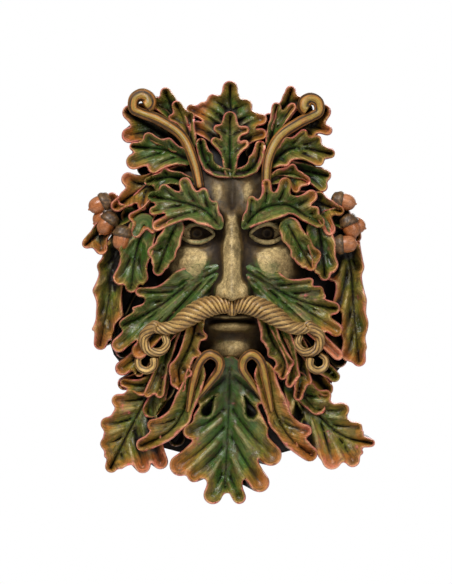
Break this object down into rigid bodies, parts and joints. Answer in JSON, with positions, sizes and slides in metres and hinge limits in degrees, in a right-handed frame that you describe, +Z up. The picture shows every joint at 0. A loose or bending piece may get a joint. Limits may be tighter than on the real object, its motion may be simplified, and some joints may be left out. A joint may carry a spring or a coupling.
{
  "type": "green man wall mask",
  "caption": "Wall-hung foliate face: a calm bearded head framed and bearded with oak leaves, scrolls and acorns, cast in one piece with a flat back and a hanging slot.",
  "frame": {"origin": "on the flat back, on the centre line, 8 mm above the top of the hanging slot", "axes": "+Z up, the face looks along -Y, and the flat back lies in the XZ plane, against the wall"},
  "size_m": [0.2082, 0.0765, 0.3002],
  "materials": {
    "painted_resin": "hand-painted cast resin, satin: green leaves with ochre lobes and coral edges over dark brown, golden face"
  },
  "bodies": {
    "root": {"plaque": "painted_resin"}
  },
  "joints": []
}
